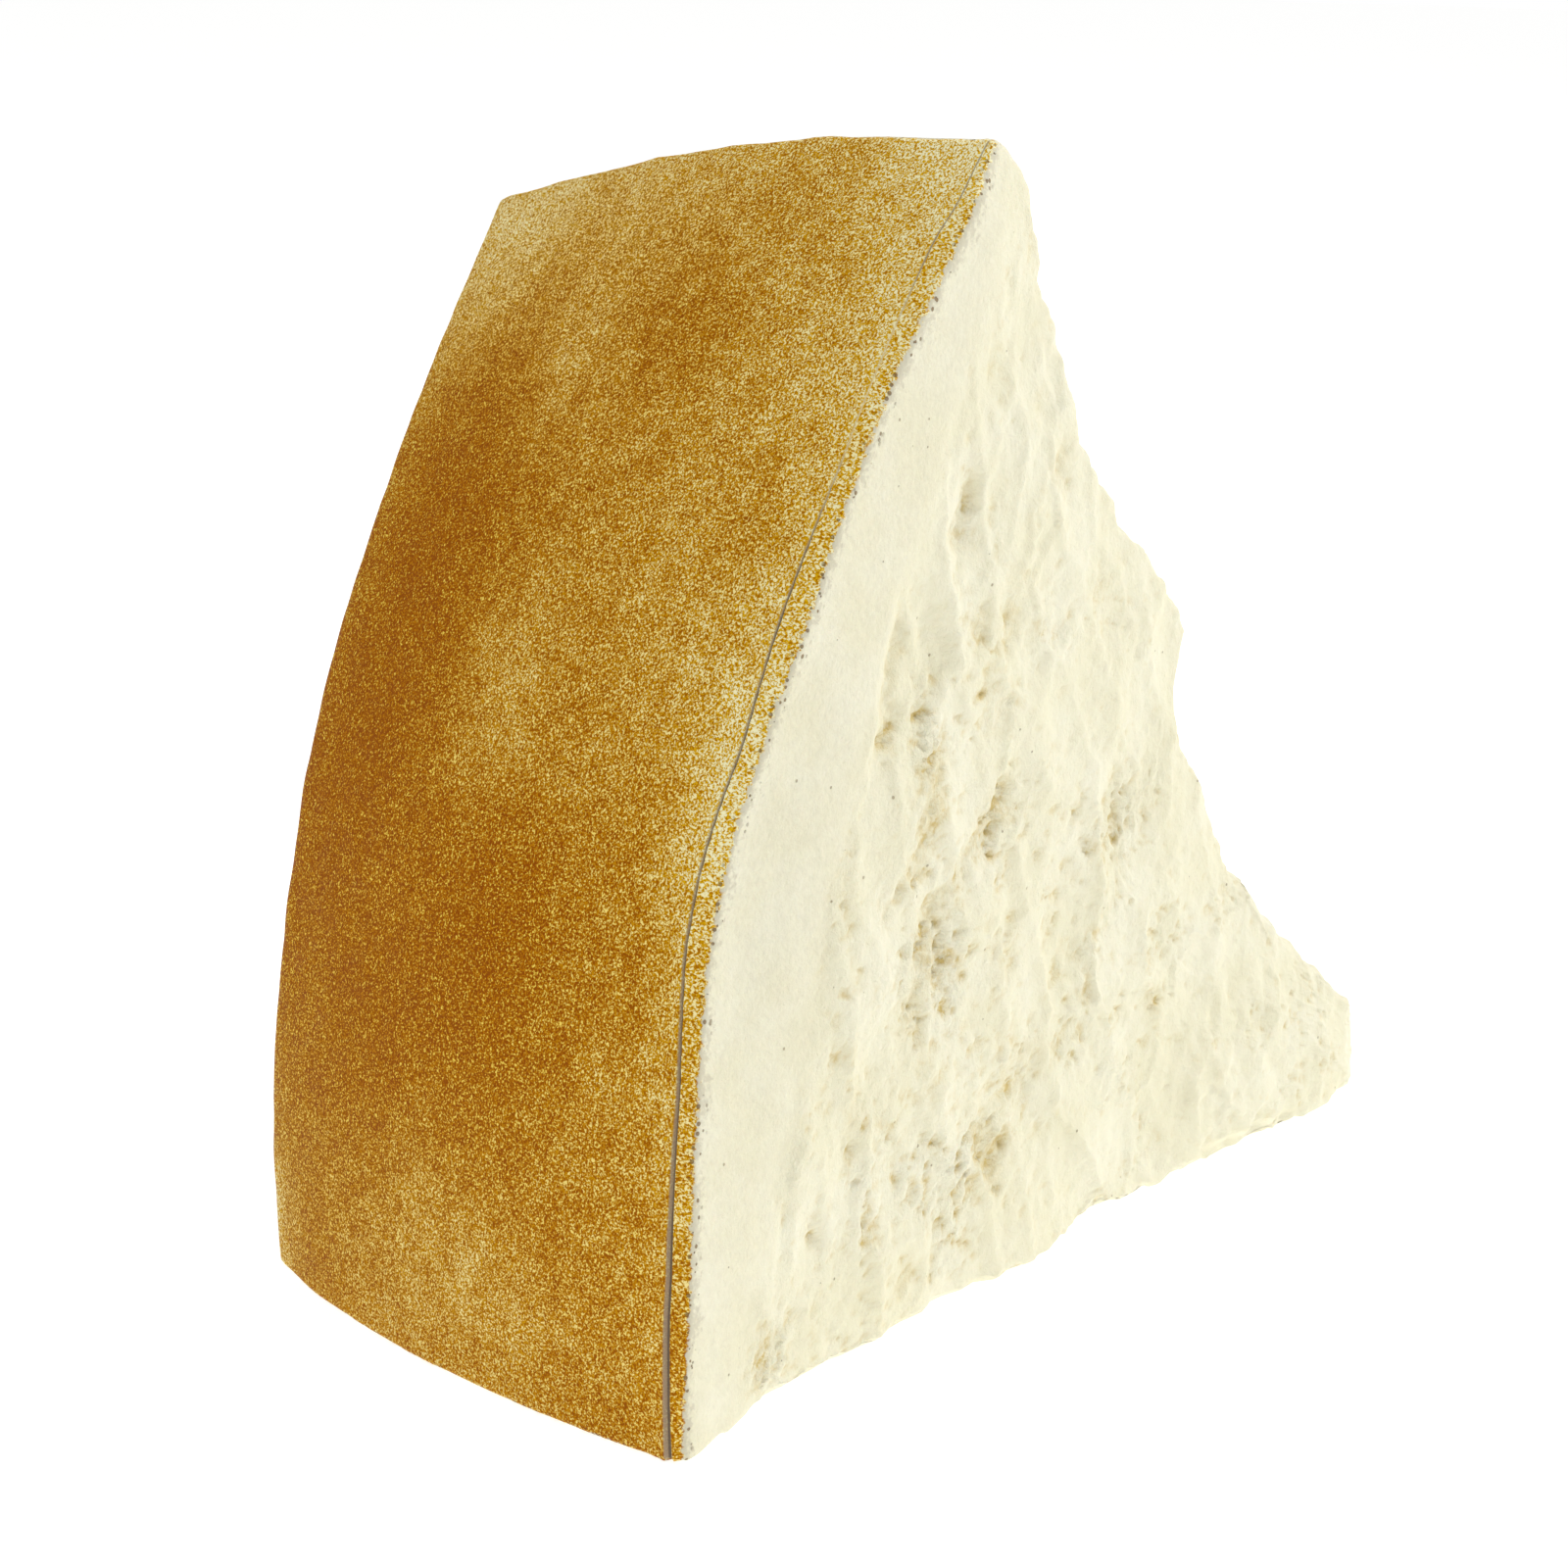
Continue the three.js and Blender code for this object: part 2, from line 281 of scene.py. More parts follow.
def wedgeSurface(rise, depth, level):
    # rise is 0 at the foot and 1 at the top, depth 0 at the tip and 1 at the rind, level the distance from
    # the face. A section point lies on the straight line from the tip to the rind. Each side then adds its
    # relief along its own normal, full on the side and fading within its reach.
    turn = math.radians(wedge["turn"])
    degrees = wedge["turn"] * rise
    share = level / wedge["halfHeight"]
    rindX, rindZ = rindLine(turn * rise, level)
    reach = wedge["tipReach"][0] + (wedge["tipReach"][1] - wedge["tipReach"][0]) * share
    x = reach + (rindX - reach) * depth
    z = wedge["tipHeight"] * rise + (rindZ - wedge["tipHeight"] * rise) * depth
    fromRind = np.hypot(rindX - x, rindZ - z)
    band = along(wedge["knifeBand"], degrees) + 1.5 * waves(np.array([x, level, z]) / 6, 71)
    split = smooth(fromRind, band, band + 6)

    crestX, crestZ = rindLine(turn, level)
    slopeX, slopeZ = reach - crestX, wedge["tipHeight"] - crestZ
    length = np.hypot(slopeX, slopeZ)
    up = np.array([-slopeZ / length, 0 * x, slopeX / length])
    out = np.array([-np.cos(turn * rise), 0 * x, np.sin(turn * rise)])
    front = np.array([0 * x, 0 * x - 1, 0 * x])
    right = np.array([0 * x + 1, 0 * x, 0 * x])
    floor = np.array([0 * x, 0 * x, 0 * x - 1])
    down = length * (1 - depth)
    fromUpper = np.abs((x - crestX) * up[0] + (z - crestZ) * up[2])
    fromPlate = wedge["halfHeight"] - level
    fromTip = length * depth

    # the upper face: ledges by the face, split paste further in
    inFromFace = smooth(level, 0, wedge["ledgeReach"])
    dropFront = along(wedge["upperFront"], down)
    drop = dropFront + (along(wedge["upperBack"], down) - dropFront) * inFromFace
    coarse, lumps, hole, crumbling = splitPaste(down, level * 1.1, 50)
    upperCrumb = wedge["hiddenCrumb"] * crumbling
    fine, upperHollow = crumble(lumps, hole, upperCrumb)
    ragged = wedge["ragged"] * crumple(np.array([down, level, 0 * x]) / 4.5, 3, 73) * smooth(down, 2, 8)
    atUpper = 1 - smooth(fromUpper, 0, wedge["grainReach"])
    crest = 0.35 * waves(np.array([x, level, z]) / 5, 75) * (1 - smooth(fromRind, 0, 4))
    upper = rise * drop + rise**3 * split * inFromFace * coarse
    upper += atUpper * (split * fine + ragged + crest)
    point = np.array([x, level, z]) + upper * up

    # the tip broke off unevenly
    coarse, lumps, hole, crumbling = splitPaste(level * 1.3, point[2] * 1.3, 80)
    tipCrumb = wedge["hiddenCrumb"] * crumbling
    fine, tipHollow = crumble(lumps, hole, tipCrumb)
    atTip = 1 - smooth(fromTip, 0, wedge["grainReach"])
    point += ((1 - depth) ** 4 * heave(1.7 * level, 1.7 * point[2]) + atTip * fine) * right

    # the broken face leans out, and the rind's front edge wanders
    coarse, fine, faceHollow, faceCrumb = brokenFace(point[0], point[2])
    nearFace = 1 - smooth(level, 0, wedge["edgeReach"])
    atFace = 1 - smooth(level, 0, wedge["grainReach"])
    edge = along(wedge["faceEdge"], degrees)
    face = wedge["faceLean"] * point[2] + split * (coarse + wedge["knifeStep"])
    toEdge = np.exp(-((fromRind / 15) ** 2))
    point += (nearFace * (face * (1 - toEdge) - edge * toEdge) + atFace * split * fine) * front
    skim = wedge["skim"] * crumple(np.array([x, level, z]) / 7, 3, 5)
    point += atFace * (1 - split) * skim * front

    # the plate
    nearPlate = 1 - smooth(fromPlate, 0, wedge["edgeReach"])
    plate = depth**3 * (along(wedge["plateEdge"], degrees) - wedge["halfHeight"])
    point -= nearPlate * (plate + 0.25 * crumple(np.array([x, level, z]) / 17, 3, 9)) * front

    # the rind: faint waves, and the scored line with its raised lips
    atRind = 1 - smooth(fromRind, 0, wedge["grainReach"])
    seamGap = level - along(wedge["seamBehind"], degrees)
    halfSeam = along(wedge["seamWidth"], degrees) / 2
    groove = np.clip(1 - np.abs(seamGap) / halfSeam, 0, 1) ** 0.7 * along(wedge["seamDepth"], degrees)
    lip = wedge["lips"]
    lips = lip["height"] * np.exp(-(((np.abs(seamGap) - lip["fromSeam"]) / lip["width"]) ** 2))
    skin = wedge["skin"] * crumple(np.array([x, level, z]) / 24, 3, 31)
    skin += 0.04 * waves(np.array([x, level, z]) / 2.2, 33)
    point += atRind * (skin * smooth(level, 0, 6) + lips - groove) * out

    # the edges are eased, by radii that waver along them
    roundNoise = 1 + 0.25 * waves(np.array([x, level, z]) / 5, 41)
    atCorner = np.exp(-((z / 7) ** 2))
    sides = {
        "face": (level, front), "plate": (fromPlate, -front), "rind": (fromRind, out),
        "upper": (fromUpper, up), "tip": (fromTip, right), "foot": (point[2] * 1.0, floor),
    }
    for first, second, radius in wedge["easedEdges"]:
        if (first, second) == ("face", "rind"):
            radius = radius + wedge["footCorner"] * atCorner
        point = roundEdge(point, radius * roundNoise, sides[first], sides[second])

    # the foot's front edge lifts, and the rest of the foot stays flat
    lift = along(wedge["footLift"], point[0]) + 0.6 * crumple(np.array([x, level, z]) / 3.4, 2, 45)
    point[2] += lift * np.clip(1 - level / 8, 0, 1) ** 2 * np.clip(1 - z / 9, 0, 1) ** 2
    point[2] = np.where(rise == 0, np.maximum(point[2], 0), np.maximum(point[2], 0.02))

    onRind = (depth == 1) | (fromPlate == 0)
    inRind = np.minimum(fromRind, fromPlate)
    rindEnd = np.minimum(np.minimum(level, fromUpper), np.minimum(z, fromTip))
    onFace, onTip = level == 0, depth == 0
    hollow = np.where(onFace, faceHollow * split, np.where(onTip, tipHollow, upperHollow * split))
    crumb = np.where(onFace, faceCrumb * split, np.where(onTip, tipCrumb, upperCrumb * split))
    return {
        "point": point,
        "rindDepth": np.where(onRind, -rindEnd, inRind),
        "seamGap": seamGap,
        "seamOpen": smooth(degrees, 34, 28) + 0.6 * smooth(degrees, 37, 40),
        "seamHalf": halfSeam,
        "hollow": np.where(onRind, 0, hollow),
        "knifeBand": np.where(onRind, 0, 1 - split),
        "crumb": np.where(onRind, 0, crumb),
        "tone": rindLook["evenTone"] + patched(rindPatches, degrees, level),
    }


def gridLines(stretches):  # positions of grid lines: evenly spaced within each stretch
    lines = [np.linspace(start, end, cells, endpoint=False) for start, end, cells in stretches]
    return np.append(np.concatenate(lines), stretches[-1][1])


def blockSkin(nRise, nDepth, nLevel):
    # The six sides of a block of cells, as polygons round its corners. Each corner is named by one whole
    # number, so sides share the corners where they meet. A plain side merges its cells into bigger ones,
    # which keep the fine corners only along the side's own border, as a fan from their innermost corner.
    def corner(i, j, k):
        return (i * (nDepth + 1) + j) * (nLevel + 1) + k

    def side(name, across, up, place):
        wide, tall = wedge["merge"].get(name, (1, 1))
        polygons = []
        for left, low in itertools.product(range(0, across, wide), range(0, up, tall)):
            right, high = min(left + wide, across), min(low + tall, up)
            ring = (
                [place(a, low) for a in (range(left, right) if low == 0 else (left,))]
                + [place(right, b) for b in (range(low, high) if right == across else (low,))]
                + [place(a, high) for a in (range(right, left, -1) if high == up else (right,))]
                + [place(left, b) for b in (range(high, low, -1) if left == 0 else (high,))]
            )
            if len(ring) == 4:
                polygons.append(ring)
                continue
            inner = ring.index(place(left if right == across else right, low if high == up else high))
            ring = ring[inner:] + ring[:inner]
            polygons += [[ring[0], second, third] for second, third in zip(ring[1:], ring[2:])]
        return polygons

    return {
        "face": side("face", nDepth, nRise, lambda a, b: corner(b, nDepth - a, 0)),
        "plate": side("plate", nRise, nDepth, lambda a, b: corner(a, nDepth - b, nLevel)),
        "tip": side("tip", nLevel, nRise, lambda a, b: corner(b, 0, a)),
        "rind": side("rind", nRise, nLevel, lambda a, b: corner(a, nDepth, b)),
        "foot": side("foot", nLevel, nDepth, lambda a, b: corner(0, nDepth - b, a)),
        "upper": side("upper", nDepth, nLevel, lambda a, b: corner(nRise, nDepth - a, b)),
    }


def buildWedge():
    rises = gridLines(wedge["riseLines"])
    depths = gridLines(wedge["depthLines"])
    levels = gridLines(wedge["levelLines"])
    sides = blockSkin(len(rises) - 1, len(depths) - 1, len(levels) - 1)
    polygons = list(itertools.chain.from_iterable(sides.values()))
    used, flat = np.unique(np.concatenate(polygons), return_inverse=True)
    faces = [part.tolist() for part in np.split(flat, np.cumsum([len(each) for each in polygons])[:-1])]
    rest, k = np.divmod(used, len(levels))
    i, j = np.divmod(rest, len(depths))
    surface = wedgeSurface(rises[i], depths[j], levels[k])

    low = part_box(node)[0]
    origin = np.array([low.x, low.y + wedge["faceBulge"] * mm, low.z])
    mesh = bpy.data.meshes.new("cheeseWedgeFine")
    mesh.from_pydata((surface["point"].T * mm + origin).tolist(), [], faces)
    for label in ("rindDepth", "seamGap", "seamOpen", "seamHalf", "hollow", "knifeBand", "crumb", "tone"):
        values = surface[label].astype(np.float32)
        mesh.attributes.new(label, "FLOAT", "POINT").data.foreach_set("value", values)
    counts = [len(each) for each in sides.values()]
    onRind = np.repeat([name in ("plate", "rind") for name in sides], counts)
    mesh.polygons.foreach_set("material_index", onRind.astype(np.int32))
    mesh.polygons.foreach_set("use_smooth", np.ones(len(faces), bool))
    mesh.update()
    piece = bpy.data.objects.new("cheeseWedge", mesh)
    bpy.context.scene.collection.objects.link(piece)
    print("wedge:", len(used), "points,", len(flat) - 2 * len(faces), "triangles")
    return piece


rindLook = {
    "brown": (0.29, 0.072, 0.0, 1),
    "amber": (0.47, 0.18, 0.0, 1),  # the brown where the rind is palest
    "gold": (0.52, 0.20, 0.0, 1),
    "yellow": (0.80, 0.47, 0.0, 1),  # the gold where the rind is palest
    "fleck": (1.0, 0.74, 0.11, 1),
    "cream": (1.0, 0.94, 0.58, 1),  # flecks where the rind is palest
    "groove": (0.46, 0.40, 0.32, 1),
    # the dark inside the open seam: painted shade
    "crackShade": (0.14, 0.11, 0.08, 1),
    "scratch": (0.86, 0.74, 0.44, 1),
    "fleckScale": 3400.0,  # per metre, like every scale here
    "mottleScale": 300.0,
    "blotchScale": 30.0,
    "evenTone": 0.42,  # the tone of the rind where no patch changes it
    "fullyPale": (0.15, 1.15),  # the tones between which the colours go over to the pale ones
    "groundFrom": (0.39, 0.52),  # the shades between which the dark colour gives way to the middle one
    "fleckFrom": (0.545, 0.64),  # and the middle one to the flecks
    "roughness": (0.5, 0.68),
}
pasteLook = {
    "ivory": (0.845, 0.805, 0.595, 1),
    "pale": (0.875, 0.843, 0.66, 1),
    "tan": (0.66, 0.50, 0.18, 1),
    "grey": (0.53, 0.48, 0.36, 1),
    # dark brown of pinholes and pits: painted shade in the small holes
    "pinholeShade": (0.24, 0.15, 0.06, 1),
    "cloudScale": 70.0,
    "lumpScale": 850.0,
    "grainScale": 1500.0,
    "pinholeScale": 330.0,
    "pinholeSize": 0.08,  # in cells of the pinhole pattern
    "roughness": (0.55, 0.72),
}
borderLook = {
    "raggedScale": 1100.0,
    "wanderScale": 150.0,
    "pitScale": 1100.0,
    "pitSize": 0.34,  # in cells of the pit pattern
}


def addNode(tree, kind, inputs=None, **settings):
    made = tree.nodes.new("ShaderNode" + kind)
    for name, value in settings.items():
        setattr(made, name, value)
    for name, value in (inputs or {}).items():
        if isinstance(value, bpy.types.NodeSocket):
            tree.links.new(value, made.inputs[name])
        else:
            made.inputs[name].default_value = value
    return made


def noiseOf(tree, coords, scale, detail=2.0, roughness=0.5, distortion=0.0):
    values = {"Vector": coords, "Scale": scale, "Detail": detail}
    values.update({"Roughness": roughness, "Distortion": distortion})
    return addNode(tree, "TexNoise", values).outputs["Fac"]


def stretched(tree, coords, scale):  # coordinates squeezed along an axis, to draw a pattern out along it
    return addNode(tree, "Mapping", {"Vector": coords, "Scale": scale}).outputs[0]


def maths(tree, operation, *values, clamp=False):
    inputs = dict(enumerate(values))
    return addNode(tree, "Math", inputs, operation=operation, use_clamp=clamp).outputs[0]


def remap(tree, value, low, high, outLow=0.0, outHigh=1.0):  # a smooth step from outLow to outHigh
    inputs = {"Value": value, "From Min": low, "From Max": high, "To Min": outLow, "To Max": outHigh}
    return addNode(tree, "MapRange", inputs, interpolation_type="SMOOTHSTEP").outputs[0]


def blend(tree, factor, first, second):
    made = addNode(tree, "Mix", data_type="RGBA")
    for index, value in ((0, factor), (6, first), (7, second)):
        if isinstance(value, bpy.types.NodeSocket):
            tree.links.new(value, made.inputs[index])
        else:
            made.inputs[index].default_value = value
    return made.outputs[2]


def blendValue(tree, factor, first, second):
    made = addNode(tree, "Mix", data_type="FLOAT")
    for index, value in ((0, factor), (2, first), (3, second)):
        tree.links.new(value, made.inputs[index])
    return made.outputs[0]


def newGroup(name, inputs, outputs):
    tree = bpy.data.node_groups.new(name, "ShaderNodeTree")
    for label in inputs:
        tree.interface.new_socket(label, in_out="INPUT", socket_type="NodeSocketFloat")
    for label in outputs:
        kind = "NodeSocketColor" if label == "Color" else "NodeSocketFloat"
        tree.interface.new_socket(label, in_out="OUTPUT", socket_type=kind)
    start, end = tree.nodes.new("NodeGroupInput"), tree.nodes.new("NodeGroupOutput")
    coords = tree.nodes.new("ShaderNodeTexCoord").outputs["Object"]
    return tree, start.outputs, end.inputs, coords


def buildRindGroup():
    # Flecks from brown through gold to cream, in soft blotches, drawn out a little by the front edge.
    tree, given, result, coords = newGroup(
        "rindSpeckle", ["Tone", "Streak"], ["Color", "Roughness", "Height"]
    )
    fleckScale = rindLook["fleckScale"]
    even = noiseOf(tree, coords, fleckScale, 1.0, 0.5, 0.6)
    drawn = noiseOf(tree, stretched(tree, coords, (1, 0.7, 1)), fleckScale, 1.0, 0.5, 0.6)
    flecks = blendValue(tree, given["Streak"], even, drawn)
    blotch = noiseOf(tree, coords, rindLook["blotchScale"], 4.0, 0.62, 0.2)
    mottle = noiseOf(tree, coords, rindLook["mottleScale"], 3.0, 0.6)
    tone = maths(tree, "MULTIPLY_ADD", maths(tree, "SUBTRACT", blotch, 0.5), 0.8, given["Tone"])
    tone = maths(tree, "MULTIPLY_ADD", maths(tree, "SUBTRACT", mottle, 0.5), 0.7, tone)
    lighter = maths(tree, "SUBTRACT", tone, rindLook["evenTone"])
    shade = maths(tree, "MULTIPLY_ADD", lighter, 0.14, flecks)
    pale = remap(tree, tone, *rindLook["fullyPale"])
    dark = blend(tree, pale, rindLook["brown"], rindLook["amber"])
    middle = blend(tree, pale, rindLook["gold"], rindLook["yellow"])
    ground = blend(tree, remap(tree, shade, *rindLook["groundFrom"]), dark, middle)
    fleck = blend(tree, pale, rindLook["fleck"], rindLook["cream"])
    amount = remap(tree, shade, *rindLook["fleckFrom"])
    tree.links.new(blend(tree, amount, ground, fleck), result["Color"])
    low, high = rindLook["roughness"]
    tree.links.new(remap(tree, mottle, 0.3, 0.7, low, high), result["Roughness"])
    fleckHeight = maths(tree, "MULTIPLY", amount, 0.08)
    tree.links.new(maths(tree, "MULTIPLY_ADD", blotch, 0.3, fleckHeight), result["Height"])
    return tree


def buildPasteGroup():
    # Ivory paste with faint clouds, tan where it crumbles and in hollows (partly its own tan, partly
    # painted shade), grey where the knife went, pinholes dark with painted shade, and grain.
    tree, given, result, coords = newGroup(
        "pasteGrain", ["Hollow", "Band", "Crumb"], ["Color", "Roughness", "Height"]
    )
    cloud = noiseOf(tree, coords, pasteLook["cloudScale"], 3.0, 0.55)
    lumps = noiseOf(tree, coords, pasteLook["lumpScale"], 4.0, 0.65)
    grain = noiseOf(tree, coords, pasteLook["grainScale"], 3.0, 0.6)
    colour = blend(tree, remap(tree, cloud, 0.35, 0.7), pasteLook["ivory"], pasteLook["pale"])
    # tan in hollows and pits: partly the crumbled paste's colour, partly painted shade
    tanAndShadeShare = maths(tree, "MULTIPLY", given["Hollow"], remap(tree, lumps, 0.6, 0.4, 0.3, 1.0))
    colour = blend(tree, tanAndShadeShare, colour, pasteLook["tan"])
    greyShare = maths(tree, "MULTIPLY", given["Band"], remap(tree, lumps, 0.35, 0.7, 0.03, 0.16))
    colour = blend(tree, greyShare, colour, pasteLook["grey"])
    # pinholes: small holes, each darkened with painted shade
    cells = addNode(tree, "TexVoronoi", {"Vector": coords, "Scale": pasteLook["pinholeScale"]})
    chosen = addNode(tree, "SeparateColor", {"Color": cells.outputs["Color"]}).outputs["Red"]
    size = maths(tree, "MULTIPLY", remap(tree, chosen, 0.45, 1.0), pasteLook["pinholeSize"])
    hole = remap(tree, maths(tree, "SUBTRACT", size, cells.outputs["Distance"]), 0.0, 0.015)
    colour = blend(tree, maths(tree, "MULTIPLY", hole, 0.55), colour, pasteLook["pinholeShade"])
    tree.links.new(colour, result["Color"])
    low, high = pasteLook["roughness"]
    tree.links.new(remap(tree, grain, 0.3, 0.7, low, high), result["Roughness"])
    relief = maths(tree, "MULTIPLY", lumps, maths(tree, "MULTIPLY_ADD", given["Crumb"], 0.6, 0.22))
    relief = maths(tree, "MULTIPLY_ADD", grain, 0.16, relief)
    tree.links.new(maths(tree, "MULTIPLY_ADD", hole, -0.3, relief), result["Height"])
    return tree


def buildBorderGroup():
    # Where rind ends and paste begins: a ragged line, a mottled grey strip and small pits, dark with
    # painted shade.
    tree, given, result, coords = newGroup("rindBorder", ["Depth"], ["Rind", "Grey", "Pit"])
    ragged = noiseOf(tree, coords, borderLook["raggedScale"], 3.0, 0.65)
    wander = noiseOf(tree, coords, borderLook["wanderScale"], 2.0)
    line = maths(tree, "MULTIPLY_ADD", maths(tree, "SUBTRACT", ragged, 0.5), -3.0, given["Depth"])
    tree.links.new(remap(tree, line, 0.35, -0.15), result["Rind"])
    strip = maths(tree, "MULTIPLY_ADD", maths(tree, "SUBTRACT", wander, 0.5), -5.0, given["Depth"])
    strip = maths(tree, "MULTIPLY_ADD", maths(tree, "SUBTRACT", ragged, 0.5), 9.0, strip)
    tree.links.new(remap(tree, strip, 2.1, 0.1), result["Grey"])
    cells = addNode(tree, "TexVoronoi", {"Vector": coords, "Scale": borderLook["pitScale"]})
    chosen = addNode(tree, "SeparateColor", {"Color": cells.outputs["Color"]}).outputs["Green"]
    size = maths(tree, "MULTIPLY", remap(tree, chosen, 0.2, 0.9), borderLook["pitSize"])
    pit = remap(tree, maths(tree, "SUBTRACT", size, cells.outputs["Distance"]), 0.0, 0.05)
    fromLine = maths(tree, "ABSOLUTE", maths(tree, "SUBTRACT", given["Depth"], 0.5))
    near = remap(tree, fromLine, 1.8, 0.5)
    tree.links.new(maths(tree, "MULTIPLY", pit, near), result["Pit"])
    return tree


def cheeseMaterial(name, groups, finish):
    material = bpy.data.materials.new(name)
    material.use_nodes = True
    tree = material.node_tree
    tree.nodes.clear()

    def attribute(label):
        return addNode(tree, "Attribute", attribute_name=label).outputs["Fac"]

    def group(label, **inputs):
        made = addNode(tree, "Group", node_tree=groups[label])
        for socket, value in inputs.items():
            tree.links.new(value, made.inputs[socket])
        return made.outputs

    depth, gap, band = attribute("rindDepth"), attribute("seamGap"), attribute("knifeBand")
    edgeStrip = remap(tree, gap, 1.0, -0.6)
    rind = group("rindSpeckle", Tone=attribute("tone"), Streak=edgeStrip)
    paste = group("pasteGrain", Hollow=attribute("hollow"), Band=band, Crumb=attribute("crumb"))
    border = group("rindBorder", Depth=depth)

    greyed = maths(tree, "MULTIPLY", border["Grey"], 0.5)
    pasteColour = blend(tree, greyed, paste["Color"], pasteLook["grey"])
    colour = blend(tree, border["Rind"], pasteColour, rind["Color"])
    # pits by the rind's border: painted shade, in the same dark brown
    colour = blend(tree, maths(tree, "MULTIPLY", border["Pit"], 0.85), colour, pasteLook["pinholeShade"])

    # the scored line: a pale or grey groove, and where it is open a dark line along it, painted shade
    # inside the gap
    opened, halfSeam = attribute("seamOpen"), attribute("seamHalf")
    inSeam = maths(tree, "MULTIPLY", remap(tree, depth, 0.0, -0.5), border["Rind"])
    fromSeam = maths(tree, "ABSOLUTE", gap)
    fromGroove = maths(tree, "SUBTRACT", fromSeam, halfSeam)
    groove = maths(tree, "MULTIPLY", remap(tree, fromGroove, 0.08, -0.1), inSeam)
    seamColour = blend(tree, opened, rindLook["scratch"], rindLook["groove"])
    colour = blend(tree, maths(tree, "MULTIPLY", groove, 0.75), colour, seamColour)
    fromCrack = maths(tree, "MULTIPLY_ADD", halfSeam, -0.3, fromSeam)
    mayCrack = maths(tree, "MULTIPLY", inSeam, opened)
    # painted shade down the middle of the open seam
    crackShade = maths(tree, "MULTIPLY", remap(tree, fromCrack, 0.11, -0.02), mayCrack)
    colour = blend(tree, maths(tree, "MULTIPLY", crackShade, 0.8), colour, rindLook["crackShade"])

    relief = blendValue(tree, border["Rind"], paste["Height"], rind["Height"])
    relief = maths(tree, "MULTIPLY_ADD", border["Pit"], -0.4, relief)
    bump = addNode(tree, "Bump", {
        "Strength": finish["bump"], "Distance": finish["bumpHeight"], "Height": relief,
    })
    gloss = blendValue(tree, border["Rind"], paste["Roughness"], rind["Roughness"])
    shader = addNode(tree, "BsdfPrincipled", {
        "Base Color": colour, "Roughness": gloss, "Normal": bump.outputs[0],
        "Subsurface Weight": finish["subsurface"], "Subsurface Scale": finish["subsurfaceScale"],
        "Subsurface Radius": (1.0, 0.7, 0.4), "Specular IOR Level": finish["specular"],
    })
    output = addNode(tree, "OutputMaterial")
    tree.links.new(shader.outputs[0], output.inputs["Surface"])
    return material


pasteFinish = {
    "bump": 0.9, "bumpHeight": 0.001, "subsurface": 0.1, "subsurfaceScale": 0.001, "specular": 0.3,
}
rindFinish = {
    "bump": 0.8, "bumpHeight": 0.001, "subsurface": 0.0, "subsurfaceScale": 0.001, "specular": 0.04,
}

groups = {
    "rindSpeckle": buildRindGroup(),
    "pasteGrain": buildPasteGroup(),
    "rindBorder": buildBorderGroup(),
}
print("node groups built")
cheese = buildWedge()
cheese.data.materials.append(cheeseMaterial("paste", groups, pasteFinish))
cheese.data.materials.append(cheeseMaterial("rind", groups, rindFinish))
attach(cheese, "root")
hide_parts(node)
print("wedge finished")


stage = {
    "floorSize": 6.0,
    "floorColour": (0.7, 0.7, 0.695, 1),
    "floorGlow": 0.97,  # the floor is a light table
    "worldColour": (1.0, 1.0, 1.0, 1),
    "worldStrength": 0.43,
    "backdropStrength": 1.0,  # how bright the world looks to the camera itself
    # name: azimuth, elevation, distance, size, watts
    "lamps": {
        "key": (56, 43, 1.2, 0.25, 7.6),
        "fill": (-100, 68, 1.3, 0.9, 4.3),
    },
}
view = {
    "azimuth": -54.507,
    "elevation": 15.068,
    "distance": 0.5216,
    "lens": 83.6,
    "aim": (-0.0083, 0.0034, 0.0602),
}


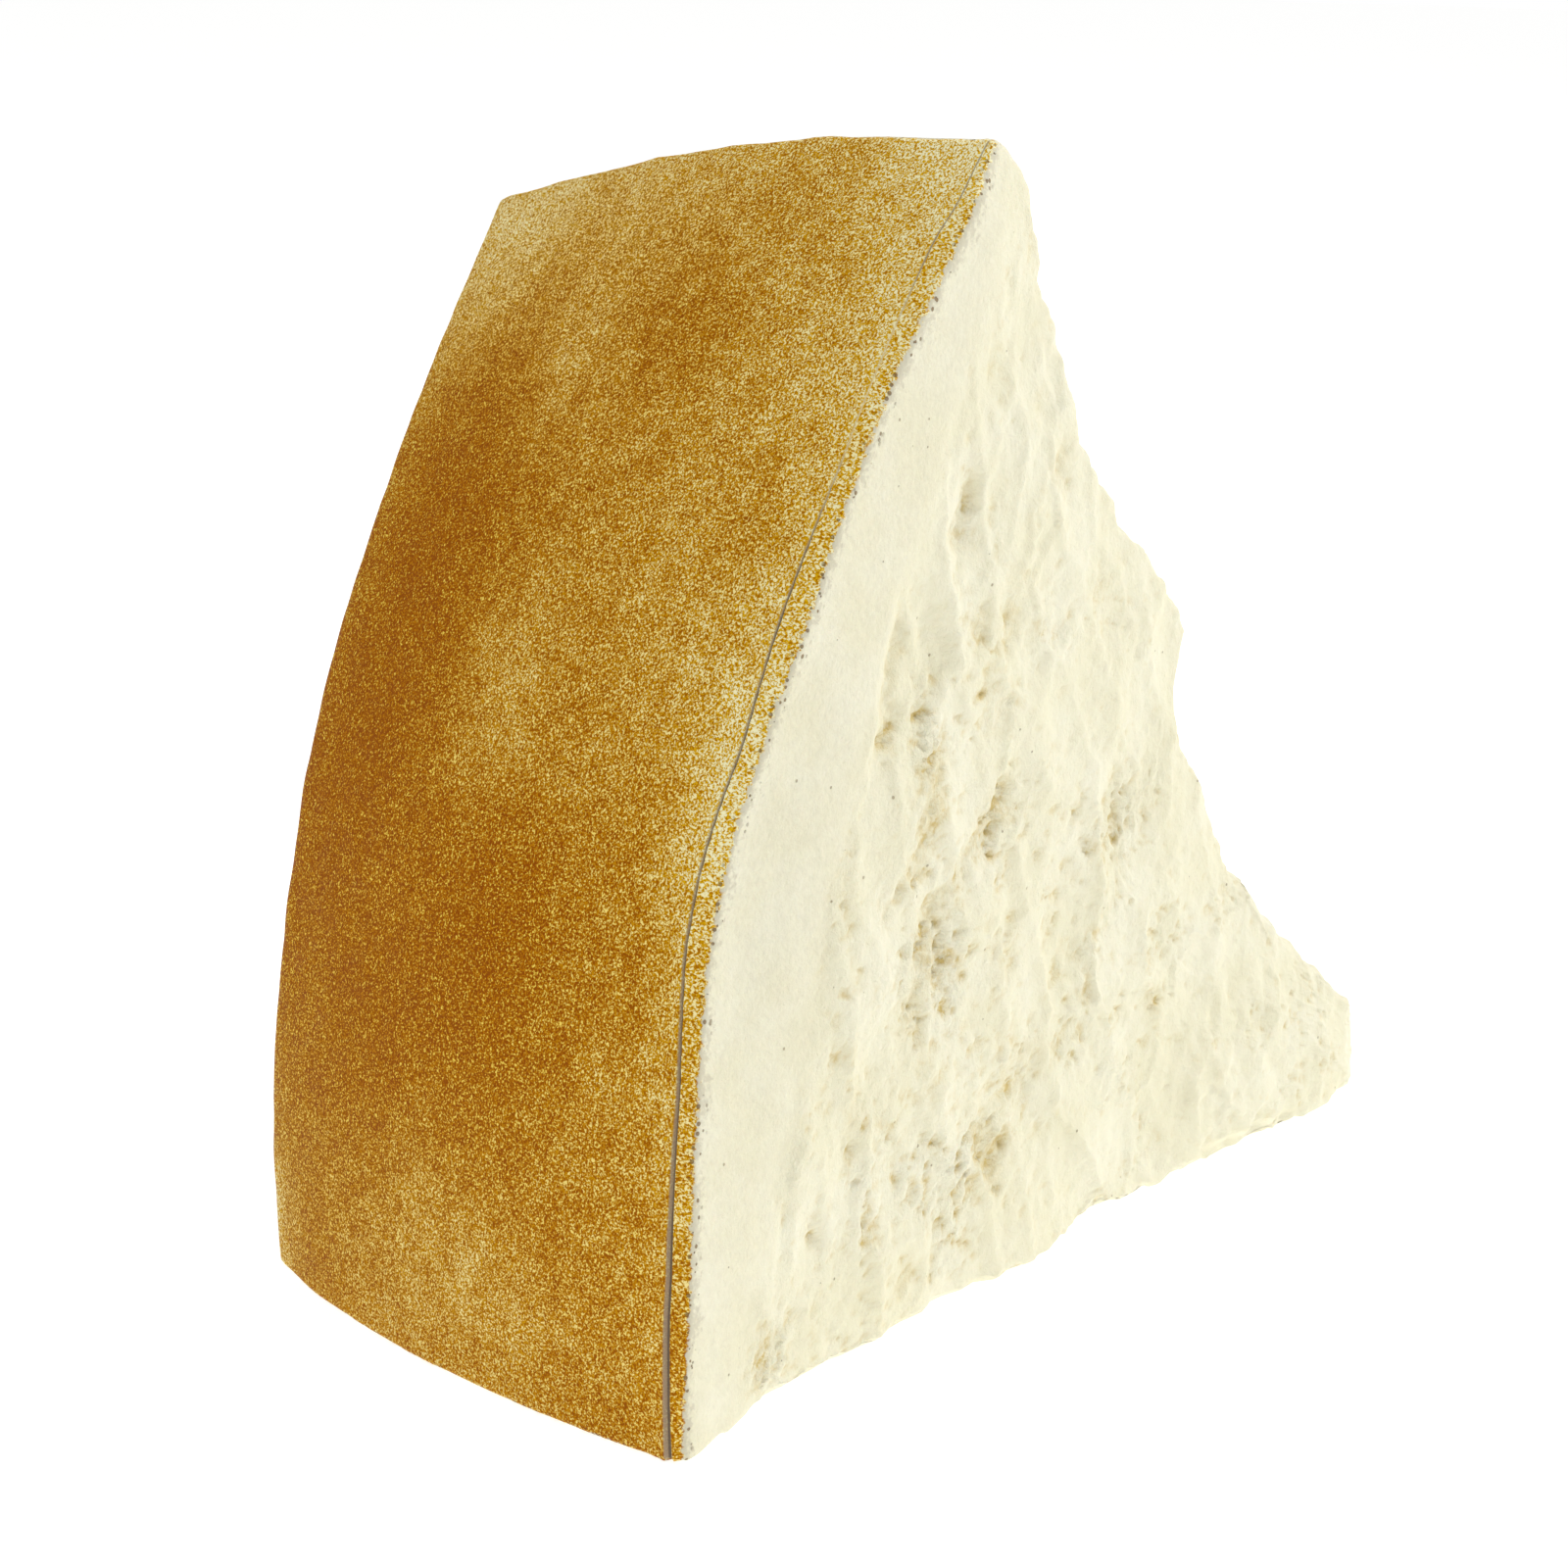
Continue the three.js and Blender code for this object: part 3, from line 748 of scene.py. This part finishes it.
def towards(azimuth, elevation):  # unit vector from the object towards something at that bearing
    a, e = math.radians(azimuth), math.radians(elevation)
    return Vector((math.sin(a) * math.cos(e), -math.cos(a) * math.cos(e), math.sin(e)))


def aimAt(thing, place, target):
    thing.location = place
    thing.rotation_euler = (place - target).to_track_quat("Z", "Y").to_euler()
    bpy.context.scene.collection.objects.link(thing)


def buildFloor():
    half = stage["floorSize"] / 2
    corners = [(-half, -half, 0), (half, -half, 0), (half, half, 0), (-half, half, 0)]
    mesh = bpy.data.meshes.new("floor")
    mesh.from_pydata(corners, [], [(0, 1, 2, 3)])
    floor = bpy.data.objects.new("floor", mesh)
    bpy.context.scene.collection.objects.link(floor)
    material = bpy.data.materials.new("paleFloor")
    material.use_nodes = True
    shader = material.node_tree.nodes["Principled BSDF"]
    shader.inputs["Base Color"].default_value = stage["floorColour"]
    shader.inputs["Roughness"].default_value = 0.9
    shader.inputs["Emission Color"].default_value = stage["floorColour"]
    shader.inputs["Emission Strength"].default_value = stage["floorGlow"]
    mesh.materials.append(material)


def buildLight():
    world = bpy.data.worlds.new("softbox")
    world.use_nodes = True
    background = world.node_tree.nodes["Background"]
    background.inputs["Color"].default_value = stage["worldColour"]
    tree = world.node_tree
    seen = addNode(tree, "LightPath").outputs["Is Camera Ray"]
    strength = remap(tree, seen, 0.0, 1.0, stage["worldStrength"], stage["backdropStrength"])
    tree.links.new(strength, background.inputs["Strength"])
    bpy.context.scene.world = world
    for name, (azimuth, elevation, distance, size, watts) in stage["lamps"].items():
        light = bpy.data.lights.new(name, "AREA")
        light.size = size
        light.energy = watts
        target = Vector(view["aim"])
        aimAt(bpy.data.objects.new(name, light), target + towards(azimuth, elevation) * distance, target)


def buildCamera():
    camera = bpy.data.cameras.new("camera")
    camera.lens = view["lens"]
    camera.clip_start = 0.01
    target = Vector(view["aim"])
    place = target + towards(view["azimuth"], view["elevation"]) * view["distance"]
    made = bpy.data.objects.new("camera", camera)
    aimAt(made, place, target)
    bpy.context.scene.camera = made


buildFloor()
buildLight()
buildCamera()
bpy.context.scene.view_settings.view_transform = "Standard"
print("stage set")
